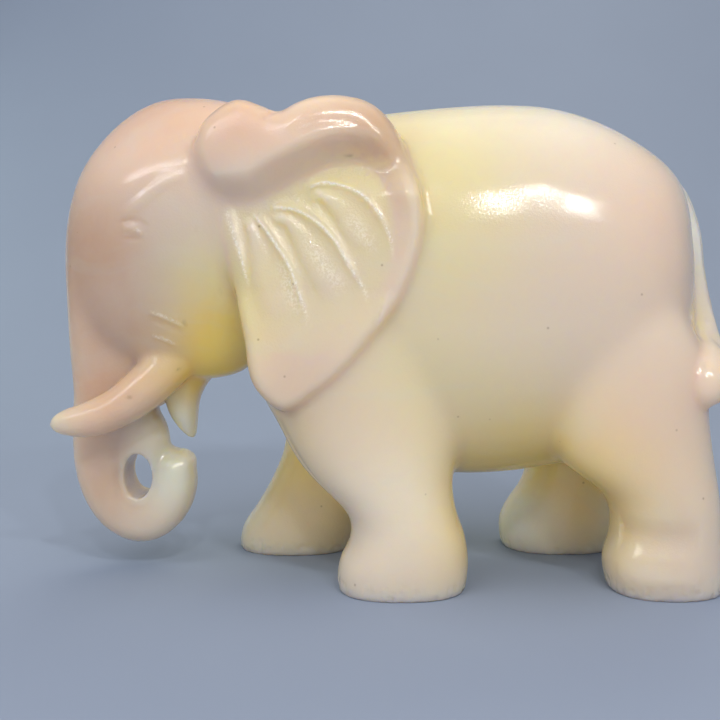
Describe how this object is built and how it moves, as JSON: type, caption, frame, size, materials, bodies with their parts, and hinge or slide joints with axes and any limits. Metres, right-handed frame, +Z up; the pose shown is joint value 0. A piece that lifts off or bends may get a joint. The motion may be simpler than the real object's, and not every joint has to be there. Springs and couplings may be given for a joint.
{
  "type": "carved elephant figurine",
  "caption": "Walking elephant carved from one block of pale jade, with the trunk curled back to the mouth and rolled ear rims, standing on flat soles.",
  "frame": {"origin": "middle of the bounding box, level with the soles of the four feet", "axes": "+X from the trunk towards the tail, +Y towards the elephant's right side, +Z up"},
  "size_m": [0.1977, 0.0873, 0.1457],
  "materials": {
    "jade": "polished translucent stone, cream with pink and yellow-green areas"
  },
  "bodies": {
    "root": {"elephant": "jade"}
  },
  "joints": []
}
